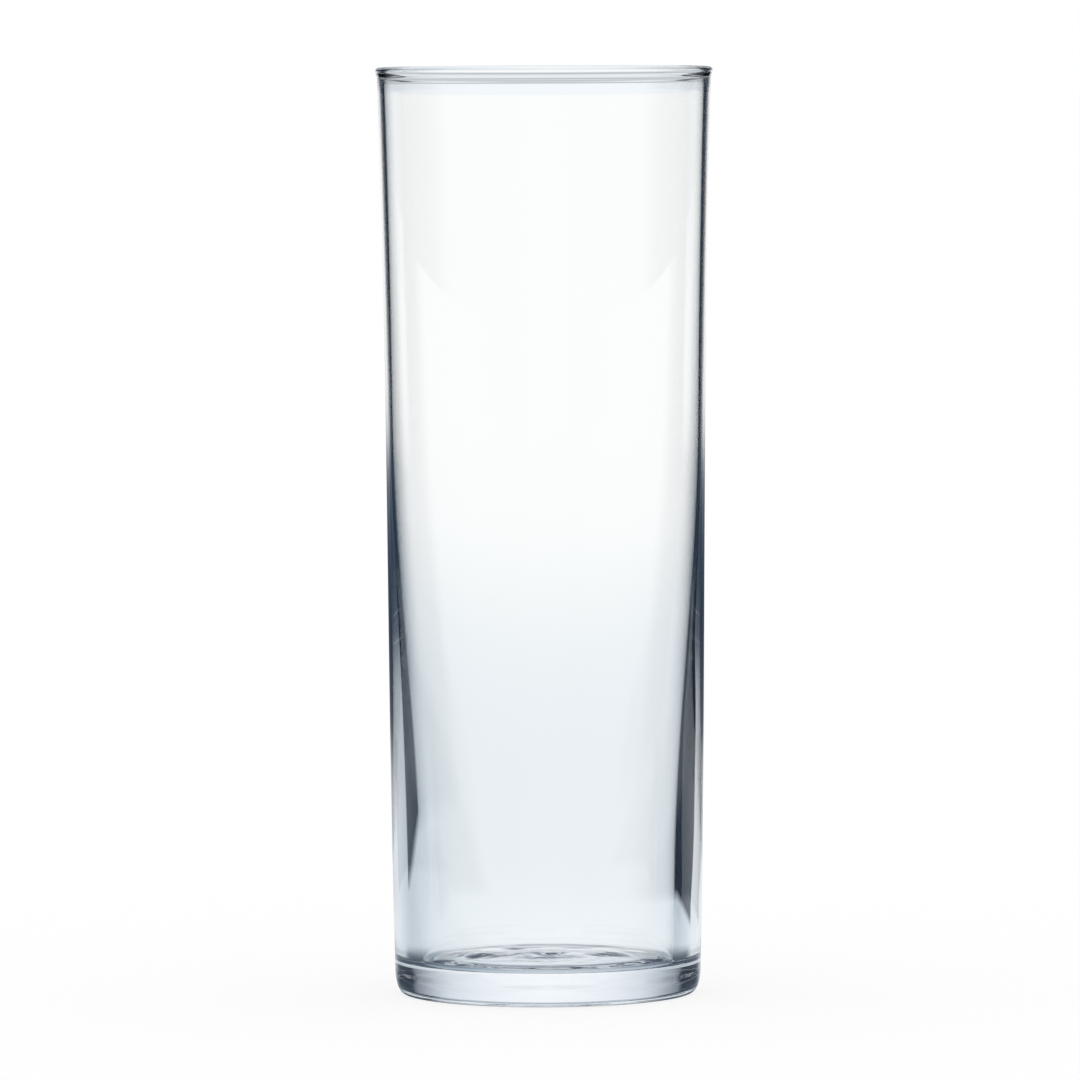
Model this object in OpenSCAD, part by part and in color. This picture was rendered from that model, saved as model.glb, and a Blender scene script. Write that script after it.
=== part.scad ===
// Highball glass: a tall clear tumbler with a rounded bead round its lip, a side that is thin
// in its upper half and thickens towards the foot, and a heavy base. Inside, the floor is flat
// and raised a little within a narrow groove. Outside, the base stands on a flat ring round a
// shallow hollow. The glass is one piece, divided here at two level cuts into lip, side and
// base, which lie face to face. The axis is Z and the table is at zero, in millimetres.

/* [Overall] */
// Height from the table to the top of the lip
glass_h = 170; // [140:1:200]

/* [Outline] */
// Outside radius just under the lip
mouth_r = 30.55; // [27:0.05:36]
// How much smaller the outside radius is two thirds of the way up
upper_draw = 1.15; // [0:0.05:3]
// How much smaller the outside radius is a third of the way up
lower_draw = 1.65; // [0:0.05:4]
// How much smaller the outside radius is at the heel
foot_draw = 2.45; // [0:0.05:5]

/* [Side wall] */
// Thickness of the upper half of the side
wall_t = 1.25; // [0.9:0.05:2.5]
// Thickness of the side near the foot
foot_wall_t = 5; // [3:0.1:8]
// Height at which the side starts to thicken, going down
thickening_h = 102; // [60:1:130]
// Height from which the side is at its thickest
thickest_h = 20; // [14:1:40]
// Width of the rounded inner corner between side and floor
corner_w = 2; // [1:0.1:5]
// Height of the rounded inner corner
corner_h = 1.4; // [1:0.1:6]
// Share of a quarter turn that the inner corner makes before it meets the floor
corner_sweep_share = 0.83; // [0.6:0.01:0.92]

/* [Lip] */
// How far the bead stands proud of the wall outside
bead_out = 0.35; // [0.1:0.05:0.8]
// How far the bead stands proud of the wall inside
bead_in = 0.2; // [0.1:0.05:0.6]
// Height over which the wall swells into the bead
bead_swell_h = 1.6; // [0.8:0.1:4]
// Height of the rounded top above the widest place of the bead
bead_top_h = 1; // [0.6:0.1:2]

/* [Base] */
// Thickness of the base at the edge of the inner floor
floor_t = 5.9; // [5:0.1:16]
// Rise of the inner floor from its edge to its centre
floor_rise = 1.2; // [0.1:0.1:2]
// How flat the raised inner floor is: more is flatter, with a steeper edge
floor_power = 24; // [2:1:40]
// Width of the rounded heel between the standing ring and the side
heel_w = 1.8; // [1:0.1:4]
// Height of the rounded heel
heel_h = 4.4; // [2:0.1:4.6]
// Width of the flat standing ring round the hollow
ring_w = 4.8; // [2:0.1:10]
// Depth of the hollow at its centre
hollow_h = 2.1; // [0.4:0.1:3]
// How flat the roof of the hollow is: more is flatter, with a steeper edge
hollow_power = 3.5; // [2:0.5:6]

/* [Hidden] */

// Number of faces round the glass, and of steps along each stretch of the outline
round_faces = 96;
side_steps = 12;
corner_steps = 6;
swell_steps = 4;
bead_steps = 10;
heel_steps = 6;
heel_side_steps = 2;
floor_steps = 10;
hollow_steps = 8;

glass_colour = [0.80, 0.88, 0.90, 0.45];
base_colour = [0.70, 0.81, 0.84, 0.60];

// Lip: the widest place of the bead, and the level cut below it
bead_z = glass_h - bead_top_h;
lip_base_z = bead_z - bead_swell_h;
bead_w = wall_t + bead_out + bead_in;
bead_centre_r = mouth_r + bead_out - bead_w / 2;

// Outside radii that follow the mouth, from the heel up
foot_r = mouth_r - foot_draw;
lower_r = mouth_r - lower_draw;
upper_r = mouth_r - upper_draw;

// Inner corner: its top on the side, its centre and its end at the edge of the floor
corner_sweep = 90 * corner_sweep_share;
corner_z = floor_t + corner_h * sin(corner_sweep);
corner_centre_r = inside_r(corner_z) - corner_w;
floor_r = corner_centre_r + corner_w * cos(corner_sweep);

// Standing ring: its outer edge, where the heel begins, and its inner edge
ring_r = foot_r - heel_w;
hollow_r = ring_r - ring_w;

function between(low, high, share) = low * (1 - share) + high * share;
function ease(share) = (1 - cos(180 * share)) / 2;
function crown(share, power) = 1 - pow(share, power);

// Outside radius at a height: one smooth cubic through the four outline radii, evenly spaced
function outside_r(z) =
    let (s = 3 * (z - heel_h) / (lip_base_z - heel_h))
    foot_r * (1 - s) * (2 - s) * (3 - s) / 6
    + lower_r * s * (2 - s) * (3 - s) / 2
    + upper_r * s * (s - 1) * (3 - s) / 2
    + mouth_r * s * (s - 1) * (s - 2) / 6;

// Thickness of the side at a height: even above, growing smoothly below, even near the foot
function side_t(z) =
    let (share = (thickening_h - z) / (thickening_h - thickest_h))
    between(wall_t, foot_wall_t, ease(min(1, max(0, share))));

function inside_r(z) = outside_r(z) - side_t(z);

// Up the outer swell, over the rounded top and down the inner swell
function lip_outline() = concat(
    [for (i = [0 : swell_steps])
        let (share = i / swell_steps)
        [mouth_r + bead_out * ease(share), between(lip_base_z, bead_z, share)]],
    [for (i = [1 : bead_steps - 1])
        let (a = 180 * i / bead_steps)
        [bead_centre_r + bead_w / 2 * cos(a), bead_z + bead_top_h * sin(a)]],
    [for (i = [swell_steps : -1 : 0])
        let (share = i / swell_steps)
        [mouth_r - wall_t - bead_in * ease(share), between(lip_base_z, bead_z, share)]]
);

// Up the outside, down the inside and round the inner corner to the edge of the floor
function side_outline() = concat(
    [for (i = [0 : side_steps])
        let (z = between(floor_t, lip_base_z, i / side_steps))
        [outside_r(z), z]],
    [for (i = [side_steps : -1 : 0])
        let (z = between(corner_z, lip_base_z, i / side_steps))
        [inside_r(z), z]],
    [for (i = [1 : corner_steps - 1])
        let (a = -corner_sweep * i / corner_steps)
        [corner_centre_r + corner_w * cos(a), corner_z + corner_h * sin(a)]],
    [[floor_r, floor_t]]
);

// Out along the hollow, across the standing ring, round the heel, up to the level cut and
// back over the inner floor
function base_outline() = concat(
    [for (i = [0 : hollow_steps])
        let (share = i / hollow_steps)
        [hollow_r * share, hollow_h * crown(share, hollow_power)]],
    [for (i = [0 : heel_steps])
        let (a = between(-90, 0, i / heel_steps))
        [ring_r + heel_w * cos(a), heel_h + heel_h * sin(a)]],
    [for (i = [1 : heel_side_steps])
        let (z = between(heel_h, floor_t, i / heel_side_steps))
        [outside_r(z), z]],
    [for (i = [floor_steps : -1 : 0])
        let (share = sin(90 * i / floor_steps))
        [floor_r * share, floor_t + floor_rise * crown(share, floor_power)]]
);

module turned(outline) {
    rotate_extrude($fn = round_faces) polygon(outline);
}

module rim_bead() {
    color(glass_colour) turned(lip_outline());
}

module side_wall() {
    color(glass_colour) turned(side_outline());
}

module heavy_base() {
    color(base_colour) turned(base_outline());
}

rim_bead();
side_wall();
heavy_base();
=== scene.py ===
import math

import bpy
from mathutils import Matrix, Vector


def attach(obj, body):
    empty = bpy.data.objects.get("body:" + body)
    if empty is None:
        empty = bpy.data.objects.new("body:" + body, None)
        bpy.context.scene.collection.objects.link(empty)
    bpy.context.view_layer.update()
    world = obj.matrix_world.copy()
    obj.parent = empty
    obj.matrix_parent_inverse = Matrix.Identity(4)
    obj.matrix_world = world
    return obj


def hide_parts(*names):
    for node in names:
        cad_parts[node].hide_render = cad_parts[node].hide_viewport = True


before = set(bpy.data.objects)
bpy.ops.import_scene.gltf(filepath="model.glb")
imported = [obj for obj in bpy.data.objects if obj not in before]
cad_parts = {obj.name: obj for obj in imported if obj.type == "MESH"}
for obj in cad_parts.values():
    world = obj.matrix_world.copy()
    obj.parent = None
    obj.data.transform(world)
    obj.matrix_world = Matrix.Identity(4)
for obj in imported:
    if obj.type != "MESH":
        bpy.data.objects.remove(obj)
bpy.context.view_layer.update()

scene = bpy.context.scene
mm = 0.001  # outline sizes are in millimetres, the scene is in metres


def linear(hexColour):
    # sRGB hex to the linear values that the sockets take
    channels = [int(hexColour[i:i + 2], 16) / 255 for i in (1, 3, 5)]
    return [c / 12.92 if c <= 0.04045 else ((c + 0.055) / 1.055) ** 2.4 for c in channels] + [1]


def addNode(tree, kind, settings=None, **inputs):
    # inputs by name, with _ for a space, or by place as i0, i1 and so on
    node = tree.nodes.new(kind)
    for name, value in (settings or {}).items():
        setattr(node, name, value)
    for name, value in inputs.items():
        place = int(name[1:]) if name[1:].isdigit() else name.replace("_", " ")
        if isinstance(value, bpy.types.NodeSocket):
            tree.links.new(value, node.inputs[place])
        else:
            node.inputs[place].default_value = value
    return node


def addMath(tree, operation, first, second=0.0):
    return addNode(tree, "ShaderNodeMath", {"operation": operation}, i0=first, i1=second).outputs[0]


def addRange(tree, value, start, end, low=0.0, high=1.0, curve="SMOOTHSTEP"):
    # low up to the start, high from the end on
    return addNode(tree, "ShaderNodeMapRange", {"interpolation_type": curve}, Value=value,
                   From_Min=start, From_Max=end, To_Min=low, To_Max=high).outputs[0]


def addMix(tree, share, first, second):
    return addNode(tree, "ShaderNodeMix", i0=share, i2=first, i3=second).outputs[0]


def addColourMix(tree, share, first, second, blend="MIX"):
    return addNode(tree, "ShaderNodeMix", {"data_type": "RGBA", "blend_type": blend},
                   i0=share, i6=first, i7=second).outputs[2]


def addShaderMix(tree, share, first, second):
    return addNode(tree, "ShaderNodeMixShader", i0=share, i1=first, i2=second).outputs[0]


def addRamp(tree, value, stops):
    # stops are (position, sRGB hex); the colours run smoothly between them
    node = addNode(tree, "ShaderNodeValToRGB", i0=value)
    ramp = node.color_ramp
    ramp.interpolation = "B_SPLINE"
    for i, (position, colour) in enumerate(stops):
        element = ramp.elements[i] if i < 2 else ramp.elements.new(position)
        element.position = position
        element.color = linear(colour)
    return node.outputs[0]


def addAngle(tree, parts, middle=0.0, back=0.0):
    # how far a place or direction lies round the glass from straight behind it, in radians,
    # counted from the axis or from a point a little in front of it
    depth = addMath(tree, "ADD", parts.outputs["Y"], back)
    turn = addMath(tree, "ARCTAN2", parts.outputs["X"], depth)
    offset = addMath(tree, "SUBTRACT", turn, math.radians(middle))
    return addMath(tree, "ABSOLUTE", offset)


def addRoundRamp(tree, angle, stops):
    # here the positions run from 0 straight behind the glass to 1 for half a turn
    return addRamp(tree, addMath(tree, "DIVIDE", angle, math.pi), stops)


def addShone(tree, path):
    # 1 for light that came through the glass or off it
    return addMath(tree, "MAXIMUM", path.outputs["Is Transmission Ray"], path.outputs["Is Glossy Ray"])


def newMaterial(name):
    material = bpy.data.materials.new(name)
    material.use_nodes = True
    return material, material.node_tree


# Camera: a long lens, slightly above the rim, turned by a hair as in the photograph
cameraSetup = {
    "distance": 1.67,
    "height": 0.1845,
    "aimHeight": 0.08325,
    "aimAcross": -0.0011,
    "roll": -0.27,  # degrees
    "lens": 303.9,
    "sensor": 36.0,
    "nearest": 0.05,
    "farthest": 60.0,
}


def placeCamera(setup):
    data = bpy.data.cameras.new("camera")
    data.lens = setup["lens"]
    data.sensor_width = setup["sensor"]
    data.clip_start = setup["nearest"]
    data.clip_end = setup["farthest"]
    camera = bpy.data.objects.new("camera", data)
    scene.collection.objects.link(camera)
    place = Vector((setup["aimAcross"], -setup["distance"], setup["height"]))
    aim = Vector((setup["aimAcross"], 0, setup["aimHeight"]))
    turn = (aim - place).to_track_quat("-Z", "Y").to_matrix().to_4x4()
    roll = Matrix.Rotation(math.radians(setup["roll"]), 4, "Z")
    camera.matrix_world = Matrix.Translation(place) @ turn @ roll
    scene.camera = camera


placeCamera(cameraSetup)
print("camera placed")

# Glass: one lathe-turned body, from the middle of the underside out and up, over the bead,
# down the inside and in over the floor
glassShape = {
    "height": 170,
    "mouthR": 30.55,  # outside, just under the lip
    "upperDraw": 1.15,  # how much smaller the outside is at two thirds of the height
    "lowerDraw": 1.65,  # the same at one third
    "footDraw": 2.45,  # the same at the heel
    "wallT": 1.25,
    "footWallT": 5.0,
    "thickeningH": 102,  # the side starts to thicken here
    "thickestH": 20,  # and is at its thickest from here down
    "cornerW": 2.0,
    "cornerH": 1.4,
    "cornerSweepShare": 0.83,  # of a quarter turn
    "beadOut": 0.35,
    "beadIn": 0.2,
    "beadSwellH": 1.4,
    "beadTopH": 0.7,
    "floorT": 5.9,
    "floorRise": 1.3,
    "floorPower": 24,  # how flat the raised floor is
    "heelW": 1.8,
    "heelH": 4.4,
    "ringW": 4.8,
    "hollowH": 2.1,
    "hollowPower": 3.5,  # how flat the roof of the hollow is
    "dishH": 0.3,  # the raised floor is this much lower in the middle
    "waveH": -0.4,  # a dimple in the middle with a soft ring round it
    "waveL": 10,
    "waveR": 8,
    # rises and dents in the floor: place across, place in depth, size and height
    "dents": [(-12.5, 3.5, 4.5, 0.45), (-13.0, -6.0, 4.5, -0.45), (-5.0, -10.0, 3.0, 0.2),
              (9.0, 5.0, 3.5, 0.05), (13.0, -5.0, 4.0, -0.05)],
    "rippleH": 0.6,  # soft unevenness of the floor
    "rippleL": 7,
    "rippleFade": 0.4,  # share of the floor's radius over which dents and ripples fade at its edge
    "rippleSlack": 0.2,  # they move what lies above the edge of the floor less this
    "rippleTop": 20,  # and below this
    "spinSteps": 256,
    "outlineSteps": {"underside": 24, "ring": 4, "heel": 12, "side": 60, "swell": 8, "top": 20,
                     "corner": 12, "floor": 60},
}


def ease(share):
    return (1 - math.cos(math.pi * share)) / 2


def steps(start, end, count):
    # from start up to, but not including, end
    return [start + (end - start) * i / count for i in range(count)]


def glassOutline(s):
    count = s["outlineSteps"]
    beadZ = s["height"] - s["beadTopH"]
    lipZ = beadZ - s["beadSwellH"]
    footR = s["mouthR"] - s["footDraw"]
    lowerR = s["mouthR"] - s["lowerDraw"]
    upperR = s["mouthR"] - s["upperDraw"]
    ringR = footR - s["heelW"]
    hollowR = ringR - s["ringW"]
    beadW = s["wallT"] + s["beadOut"] + s["beadIn"]
    beadR = s["mouthR"] + s["beadOut"] - beadW / 2

    def outsideR(z):
        # a smooth cubic through four evenly spaced radii
        t = 3 * (z - s["heelH"]) / (lipZ - s["heelH"])
        lowHalf = footR * (1 - t) * (2 - t) * (3 - t) / 6 + lowerR * t * (2 - t) * (3 - t) / 2
        highHalf = upperR * t * (t - 1) * (3 - t) / 2 + s["mouthR"] * t * (t - 1) * (t - 2) / 6
        return lowHalf + highHalf

    def insideR(z):
        share = (s["thickeningH"] - z) / (s["thickeningH"] - s["thickestH"])
        return outsideR(z) - s["wallT"] - (s["footWallT"] - s["wallT"]) * ease(min(1, max(0, share)))

    sweep = math.pi / 2 * s["cornerSweepShare"]
    cornerZ = s["floorT"] + s["cornerH"] * math.sin(sweep)
    cornerCentre = insideR(cornerZ) - s["cornerW"]
    floorR = cornerCentre + s["cornerW"] * math.cos(sweep)

    def floorZ(r):
        wave = s["waveH"] * math.cos(2 * math.pi * r / s["waveL"]) * math.exp(-(r / s["waveR"]) ** 2)
        raised = s["floorRise"] * (1 - (r / floorR) ** s["floorPower"])
        return s["floorT"] + raised - s["dishH"] * (1 - (r / floorR) ** 2) + wave

    underside = [(hollowR * u, s["hollowH"] * (1 - u ** s["hollowPower"]))
                 for u in steps(0, 1, count["underside"])]
    ring = [(r, 0) for r in steps(hollowR, ringR, count["ring"])]
    heel = [(ringR + s["heelW"] * math.sin(a), s["heelH"] * (1 - math.cos(a)))
            for a in steps(0, math.pi / 2, count["heel"])]
    outside = [(outsideR(z), z) for z in steps(s["heelH"], lipZ, count["side"])]
    outerSwell = [(s["mouthR"] + s["beadOut"] * ease(u), lipZ + s["beadSwellH"] * u)
                  for u in steps(0, 1, count["swell"])]
    top = [(beadR + beadW / 2 * math.cos(a), beadZ + s["beadTopH"] * math.sin(a))
           for a in steps(0, math.pi, count["top"])]
    innerSwell = [(s["mouthR"] - s["wallT"] - s["beadIn"] * ease(u), lipZ + s["beadSwellH"] * u)
                  for u in steps(1, 0, count["swell"])]
    inside = [(insideR(z), z) for z in steps(lipZ, cornerZ, count["side"])]
    corner = [(cornerCentre + s["cornerW"] * math.cos(a), cornerZ - s["cornerH"] * math.sin(a))
              for a in steps(0, sweep, count["corner"])]
    floorRadii = [floorR * math.cos(a) for a in steps(0, math.pi / 2, count["floor"])] + [0]
    floor = [(r, floorZ(r)) for r in floorRadii]
    points = underside + ring + heel + outside + outerSwell + top + innerSwell
    points += inside + corner + floor
    return [Vector((r * mm, 0, z * mm)) for r, z in points]


def turnGlass(shape):
    outline = glassOutline(shape)
    bpy.ops.object.select_all(action="DESELECT")
    bpy.ops.mesh.primitive_plane_add(size=mm, location=(0, 0, 0))
    piece = bpy.context.active_object
    piece.name = "glass"
    bpy.ops.object.mode_set(mode="EDIT")
    bpy.ops.mesh.select_all(action="SELECT")
    bpy.ops.mesh.merge(type="CENTER")
    bpy.ops.mesh.select_all(action="SELECT")
    bpy.ops.transform.translate(value=outline[0])
    for start, end in zip(outline, outline[1:]):
        bpy.ops.mesh.extrude_region_move(TRANSFORM_OT_translate={"value": end - start})
    bpy.ops.mesh.select_all(action="SELECT")
    bpy.ops.mesh.spin(steps=shape["spinSteps"], angle=2 * math.pi, center=(0, 0, 0), axis=(0, 0, 1))
    bpy.ops.mesh.select_all(action="SELECT")
    bpy.ops.mesh.remove_doubles(threshold=0.001 * mm)
    bpy.ops.mesh.normals_make_consistent(inside=False)
    bpy.ops.object.mode_set(mode="OBJECT")
    bpy.ops.object.shade_smooth()
    return piece


def rippleFloor(piece, shape):
    # soft, uneven waves of hot-formed glass, strongest inside the edge of the floor
    reach = (shape["mouthR"] - shape["footDraw"] - shape["footWallT"] - shape["cornerW"]) * mm
    lowest = (shape["floorT"] - shape["rippleSlack"]) * mm
    highest = shape["rippleTop"] * mm
    group = piece.vertex_groups.new(name="floor")
    for vertex in piece.data.vertices:
        r = math.hypot(vertex.co.x, vertex.co.y)
        if r < reach and lowest < vertex.co.z < highest:
            weight = ease(min(1, (1 - r / reach) / shape["rippleFade"]))
            group.add([vertex.index], weight, "REPLACE")
            for x, y, size, height in shape["dents"]:
                away = math.hypot(vertex.co.x - x * mm, vertex.co.y - y * mm) / (size * mm)
                vertex.co.z += height * mm * math.exp(-away ** 2) * weight
    clouds = bpy.data.textures.new("ripple", "CLOUDS")
    clouds.noise_scale = shape["rippleL"] * mm
    clouds.noise_depth = 1
    bpy.context.view_layer.objects.active = piece
    ripple = piece.modifiers.new("ripple", "DISPLACE")
    ripple.texture = clouds
    ripple.texture_coords = "LOCAL"
    ripple.direction = "Z"
    ripple.mid_level = 0.5
    ripple.strength = shape["rippleH"] * mm
    ripple.vertex_group = group.name
    bpy.ops.object.modifier_apply(modifier=ripple.name)


# Soda-lime glass, hot-formed and fire-polished: clear, next to colourless and smooth all over
glassLook = {
    "colour": "#feffff",
    "ior": 1.52,
}


def glassMaterial(look):
    material, tree = newMaterial("glass")
    shader = tree.nodes["Principled BSDF"]
    shader.inputs["Base Color"].default_value = linear(look["colour"])
    shader.inputs["Transmission Weight"].default_value = 1
    shader.inputs["Roughness"].default_value = 0
    shader.inputs["IOR"].default_value = look["ior"]
    return material


glass = turnGlass(glassShape)
rippleFloor(glass, glassShape)
glass.data.materials.clear()
glass.data.materials.append(glassMaterial(glassLook))
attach(glass, "root")
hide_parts("rim_bead", "side_wall", "heavy_base")
print("glass turned", len(glass.data.vertices), "vertices")

# Floor: white to the camera. To what is seen through the glass it glows with painted shade: a cool
# grey that goes white with distance, lightest straight behind the glass and dark close beside it.
floorSetup = {
    "radius": 14.0,
    "sides": 96,
    "drop": 0.00005,
    "plainShade": 0.85,  # how much light it gives back to what isn't glass
    # painted shade by the distance from the axis: under the glass, along its foot, and out over the
    # floor
    "paintedShades": [(0.0, "#c8d2dc"), (0.021, "#c8d2dc"), (0.026, "#a4b0bc"), (0.030, "#b4bec8"),
               (0.036, "#f4f8fb"), (0.12, "#f2f6fa"), (0.28, "#e9eef3"), (0.40, "#eff3f6"),
               (0.55, "#fafbfc"), (0.75, "#ffffff")],
    # painted light: lightest straight behind the glass, darker to both sides
    "roundShades": [(0.0, "#ffffff"), (0.06, "#fefefe"), (0.11, "#f8fafb"), (0.16, "#dfe6eb"),
                    (0.24, "#bcc6cf"), (0.36, "#ffffff")],
    "roundFade": (0.8, 2.1, 0.15),  # from, to and share left, as the sides whiten with distance
    "middle": 5.0,  # degrees; the painted light behind the glass stands this far to the right
    "anglePoint": 0.05,  # angles are counted from a point this far in front of the axis
    # painted shade: a dark patch on the floor close beside the glass
    "besidePaintedShade": "#344254",
    "besideAngle": (24, 32, 90),  # degrees from straight behind: starts, is full, ends
    # by the distance from the axis: how much of it there is, black for none and white for all
    "besideShades": [(0.024, "#000000"), (0.030, "#ffffff"), (0.052, "#ffffff"), (0.062, "#e8e8e8"),
                     (0.076, "#909090"), (0.092, "#000000")],
    "shadowShare": 0.2,  # how much of the shade on the floor the camera sees
}


# the floor's painted shade, seen only in and through the glass
def addFloorShade(tree, setup):
    place = addNode(tree, "ShaderNodeTexCoord").outputs["Object"]
    parts = addNode(tree, "ShaderNodeSeparateXYZ", i0=place)
    reach = addNode(tree, "ShaderNodeVectorMath", {"operation": "LENGTH"}, i0=place).outputs["Value"]

    around = addAngle(tree, parts, setup["middle"], setup["anglePoint"])
    fadeStart, fadeEnd, fadeLeft = setup["roundFade"]
    strength = addRange(tree, reach, fadeStart, fadeEnd, 1.0, fadeLeft)
    shade = addColourMix(tree, strength, addRamp(tree, reach, setup["paintedShades"]),
                         addRoundRamp(tree, around, setup["roundShades"]), "MULTIPLY")

    starts, full, ends = [math.radians(angle) for angle in setup["besideAngle"]]
    aside = addAngle(tree, parts, 0.0, setup["anglePoint"])
    side = addMath(tree, "MULTIPLY", addRange(tree, aside, starts, full),
                   addMath(tree, "LESS_THAN", aside, ends))
    beside = addMath(tree, "MULTIPLY", side, addRamp(tree, reach, setup["besideShades"]))
    return addColourMix(tree, beside, shade, linear(setup["besidePaintedShade"]))


def addFloor(setup):
    bpy.ops.object.select_all(action="DESELECT")
    bpy.ops.mesh.primitive_circle_add(vertices=setup["sides"], radius=setup["radius"],
                                      fill_type="NGON", location=(0, 0, -setup["drop"]))
    floor = bpy.context.active_object
    floor.name = "floor"
    material, tree = newMaterial("floor")
    tree.nodes.clear()
    path = addNode(tree, "ShaderNodeLightPath")
    plain = addNode(tree, "ShaderNodeBsdfDiffuse", Color=[setup["plainShade"]] * 3 + [1])
    paper = addNode(tree, "ShaderNodeBsdfDiffuse", Color=(1, 1, 1, 1))
    lift = addNode(tree, "ShaderNodeEmission", Color=(1, 1, 1, 1), Strength=1)
    white = addShaderMix(tree, setup["shadowShare"], lift.outputs[0], paper.outputs[0])
    # for light through or off the glass the floor glows with its painted shade
    through = addNode(tree, "ShaderNodeEmission", Color=addFloorShade(tree, setup))
    seen = addShaderMix(tree, addShone(tree, path), plain.outputs[0], through.outputs[0])
    surface = addShaderMix(tree, path.outputs["Is Camera Ray"], seen, white)
    addNode(tree, "ShaderNodeOutputMaterial", Surface=surface)
    floor.data.materials.append(material)


addFloor(floorSetup)
print("floor added")

# Surround: the unlit studio beside and in front of the glass, open behind it. Only light that has
# turned inside the glass meets it, and above the rim also what went straight through, so it draws
# the dark lines along the edges.
surroundSetup = {
    "radius": 0.122,
    "sides": 128,
    "shift": -0.012,
    "height": 0.34,
    "colour": "#242f3b",
    "openLow": 44.0,  # half-angle of the opening, in degrees, at the floor
    "openHigh": 30.5,  # and above the reach
    "openReach": 0.14,
    # on the right the opening is narrower near the floor: over the first stretch of height it
    # goes from one half-angle to the next, and over the second it widens by the last
    "narrow": ((0.005, 0.015), (37.0, 31.0)),
    "widen": ((0.022, 0.045), 9.0),
    "soft": 1.5,
    "openColour": "#3e5068",  # of the dark that stays in the opening
    # how much of that stays, by height: black for none and white for all. The bands that stay are
    # painted shade: the lower draws the dark marks in the glass floor, the upper the grey band in the
    # rim
    "veilShades": [(0.0, "#303030"), (0.020, "#303030"), (0.030, "#303030"), (0.040, "#ffffff"),
                   (0.085, "#ffffff"), (0.105, "#404040"), (0.174, "#404040"), (0.177, "#c0c0c0"),
                   (0.200, "#c0c0c0"), (0.206, "#404040")],
    "rimHeight": 0.174,  # above it the surround also meets light that went straight through
    "footEdge": ((30, 0.002), (62, 0.010)),  # its lower edge: angle in degrees, height
    "footLower": 0.0035,  # how much lower that edge is on the right
    "footSoft": 0.002,
    "fadeHigh": 44,  # where the dark starts to thin out, in degrees, above the reach
    "fadeLow": 62,  # near the floor
    "fadeFoot": 110,  # and at the floor
    "footReach": 0.035,
    "fadeWidth": 20,
    "front": 0.06,  # how much of it stays in front
    "frontLow": 0.09,  # in front it fades in from the floor to this height
}


def addOpening(tree, angle, height, onRight, setup):
    # 0 in the opening and 1 beside it
    opening = addRange(tree, height, 0.0, setup["openReach"], math.radians(setup["openLow"]),
                       math.radians(setup["openHigh"]), "LINEAR")
    (narrowFrom, narrowTo), (narrowStart, narrowEnd) = setup["narrow"]
    narrow = addRange(tree, height, narrowFrom, narrowTo, math.radians(narrowStart),
                      math.radians(narrowEnd))
    (widenFrom, widenTo), widenBy = setup["widen"]
    widen = addRange(tree, height, widenFrom, widenTo, 0.0, math.radians(widenBy))
    least = addMath(tree, "MINIMUM", opening, addMath(tree, "ADD", narrow, widen))
    width = addMix(tree, onRight, opening, least)
    return addRange(tree, addMath(tree, "SUBTRACT", angle, width), 0.0, math.radians(setup["soft"]))


def addThinning(tree, angle, height, setup):
    # how much of the dark is left, going round from the opening to the front
    upper = addRange(tree, height, setup["footReach"], setup["openReach"],
                     math.radians(setup["fadeLow"]), math.radians(setup["fadeHigh"]), "LINEAR")
    foot = addRange(tree, height, 0.0, setup["footReach"],
                    math.radians(setup["fadeFoot"] - setup["fadeLow"]), 0.0)
    beyond = addMath(tree, "SUBTRACT", angle, addMath(tree, "ADD", upper, foot))
    thin = addRange(tree, beyond, 0.0, math.radians(setup["fadeWidth"]))
    front = addRange(tree, height, 0.0, setup["frontLow"], 0.0, setup["front"])
    return addMix(tree, thin, 1.0, front)


def addLowerEdge(tree, angle, height, onRight, setup):
    # 0 under the lower edge and 1 above it
    (lowAngle, lowHeight), (highAngle, highHeight) = setup["footEdge"]
    edge = addRange(tree, angle, math.radians(lowAngle), math.radians(highAngle), lowHeight,
                    highHeight, "LINEAR")
    lowered = addMath(tree, "ADD", height, addMath(tree, "MULTIPLY", onRight, setup["footLower"]))
    above = addMath(tree, "SUBTRACT", lowered, edge)
    return addRange(tree, above, 0.0, setup["footSoft"], curve="LINEAR")


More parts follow.
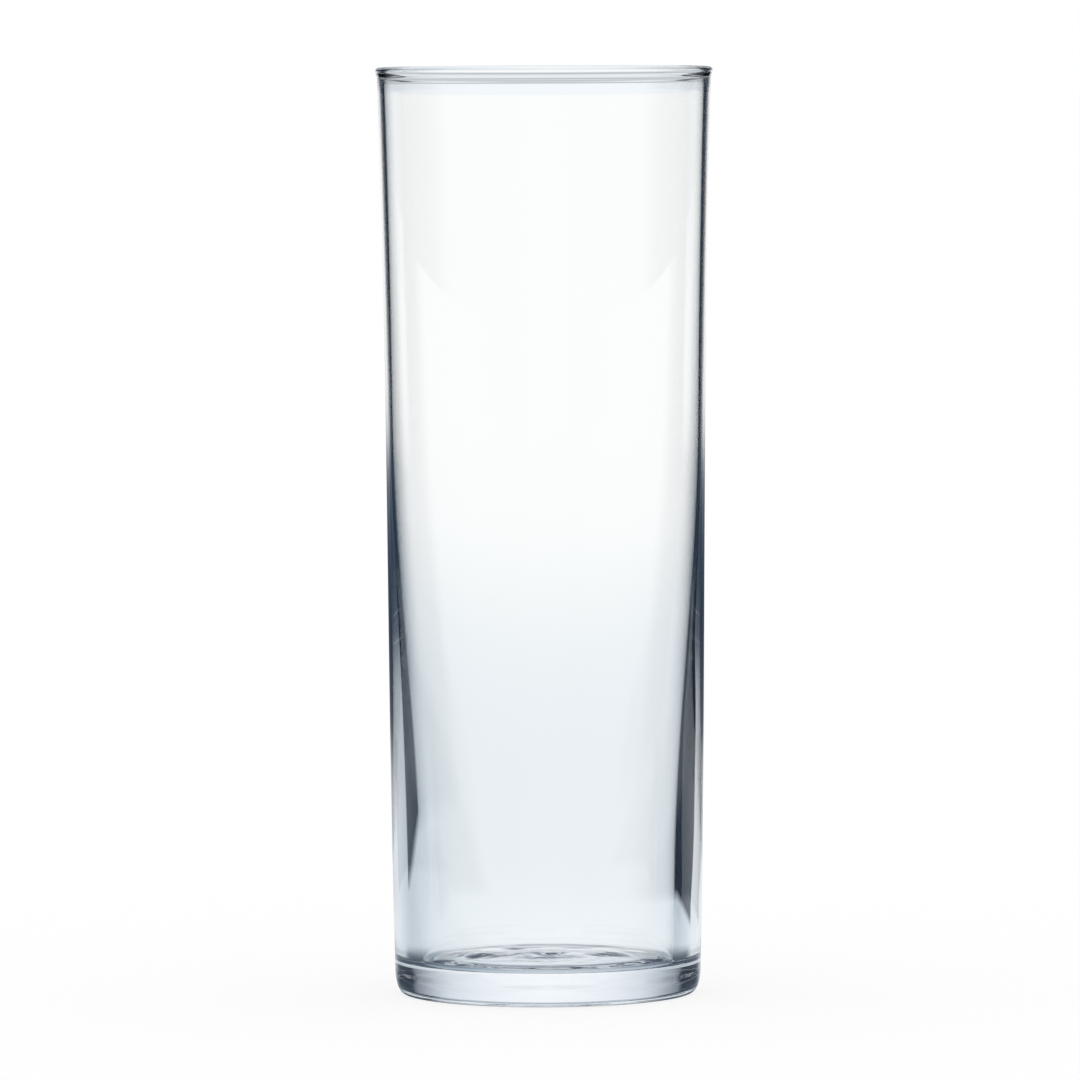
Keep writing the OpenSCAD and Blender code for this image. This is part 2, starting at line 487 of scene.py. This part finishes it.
def addSurround(setup):
    bpy.ops.object.select_all(action="DESELECT")
    bpy.ops.mesh.primitive_cylinder_add(vertices=setup["sides"], radius=setup["radius"],
                                        depth=setup["height"], end_fill_type="NOTHING",
                                        location=(setup["shift"], 0, setup["height"] / 2))
    surround = bpy.context.active_object
    surround.name = "surround"
    bpy.ops.object.transform_apply(location=True, rotation=True, scale=True)
    material, tree = newMaterial("surround")
    tree.nodes.clear()
    path = addNode(tree, "ShaderNodeLightPath")
    place = addNode(tree, "ShaderNodeTexCoord").outputs["Object"]
    parts = addNode(tree, "ShaderNodeSeparateXYZ", i0=place)
    height = parts.outputs["Z"]
    angle = addAngle(tree, parts)
    onRight = addMath(tree, "GREATER_THAN", parts.outputs["X"], 0.0)
    closed = addOpening(tree, angle, height, onRight, setup)
    cover = addMix(tree, closed, addRamp(tree, height, setup["veilShades"]), 1.0)
    held = addMath(tree, "MULTIPLY", addThinning(tree, angle, height, setup),
                   addLowerEdge(tree, angle, height, onRight, setup))
    turned = addMath(tree, "GREATER_THAN", path.outputs["Glossy Depth"], 0.5)
    aboveRim = addMath(tree, "GREATER_THAN", height, setup["rimHeight"])
    met = addMath(tree, "MULTIPLY", addMath(tree, "MULTIPLY", cover, held),
                  addMath(tree, "MAXIMUM", turned, aboveRim))
    clear = addNode(tree, "ShaderNodeBsdfTransparent")
    colour = addColourMix(tree, closed, linear(setup["openColour"]), linear(setup["colour"]))
    dark = addNode(tree, "ShaderNodeEmission", Color=colour)
    surface = addShaderMix(tree, met, clear.outputs[0], dark.outputs[0])
    addNode(tree, "ShaderNodeOutputMaterial", Surface=surface)
    surround.data.materials.append(material)
    surround.visible_camera = False
    surround.visible_shadow = False
    surround.visible_diffuse = False


addSurround(surroundSetup)
print("surround added")

# World: white to the camera and to the floor. Seen in or through the glass it is a lit backdrop
# that darkens to both sides, with painted shade for light that has turned many times in the glass.
worldSetup = {
    "colour": "#ffffff",
    "light": 1.0,
    "roundShades": [(0.0, "#f6fafe"), (0.09, "#f0f5fb"), (0.16, "#dce4ec"), (0.20, "#c0c8d0"),
                    (0.24, "#9ca4ae"), (0.268, "#8a929c"), (0.284, "#5c6672"), (0.295, "#26303c"),
                    (0.48, "#26303c"), (0.57, "#ffffff")],
    "middle": 0.9,  # degrees to the right
    # painted shade, the same from every side, for light that has turned more than this many times in
    # the glass
    "deepTurns": 5.5,
    "deepPaintedShade": "#3a4656",
}


def makeWorld(setup):
    world = bpy.data.worlds.new("studio")
    scene.world = world
    world.use_nodes = True
    tree = world.node_tree
    tree.nodes.clear()
    path = addNode(tree, "ShaderNodeLightPath")
    colour = linear(setup["colour"])
    light = addNode(tree, "ShaderNodeBackground", Color=colour, Strength=setup["light"])
    seen = addNode(tree, "ShaderNodeBackground", Color=colour, Strength=1)
    place = addNode(tree, "ShaderNodeTexCoord").outputs["Generated"]
    parts = addNode(tree, "ShaderNodeSeparateXYZ", i0=place)
    across = addRoundRamp(tree, addAngle(tree, parts, setup["middle"]), setup["roundShades"])
    deep = addMath(tree, "GREATER_THAN", path.outputs["Glossy Depth"], setup["deepTurns"])
    backdropWithDeepShade = addColourMix(tree, deep, across, linear(setup["deepPaintedShade"]))
    behind = addNode(tree, "ShaderNodeBackground", Color=backdropWithDeepShade, Strength=1)
    through = addShaderMix(tree, addShone(tree, path), light.outputs[0], behind.outputs[0])
    surface = addShaderMix(tree, path.outputs["Is Camera Ray"], through, seen.outputs[0])
    addNode(tree, "ShaderNodeOutputWorld", Surface=surface)


makeWorld(worldSetup)
print("world made")

scene.view_settings.view_transform = "Standard"
lightTurns = 24  # light that runs round in the heavy base is followed to its end
scene.cycles.max_bounces = lightTurns
scene.cycles.glossy_bounces = lightTurns
scene.cycles.transmission_bounces = lightTurns
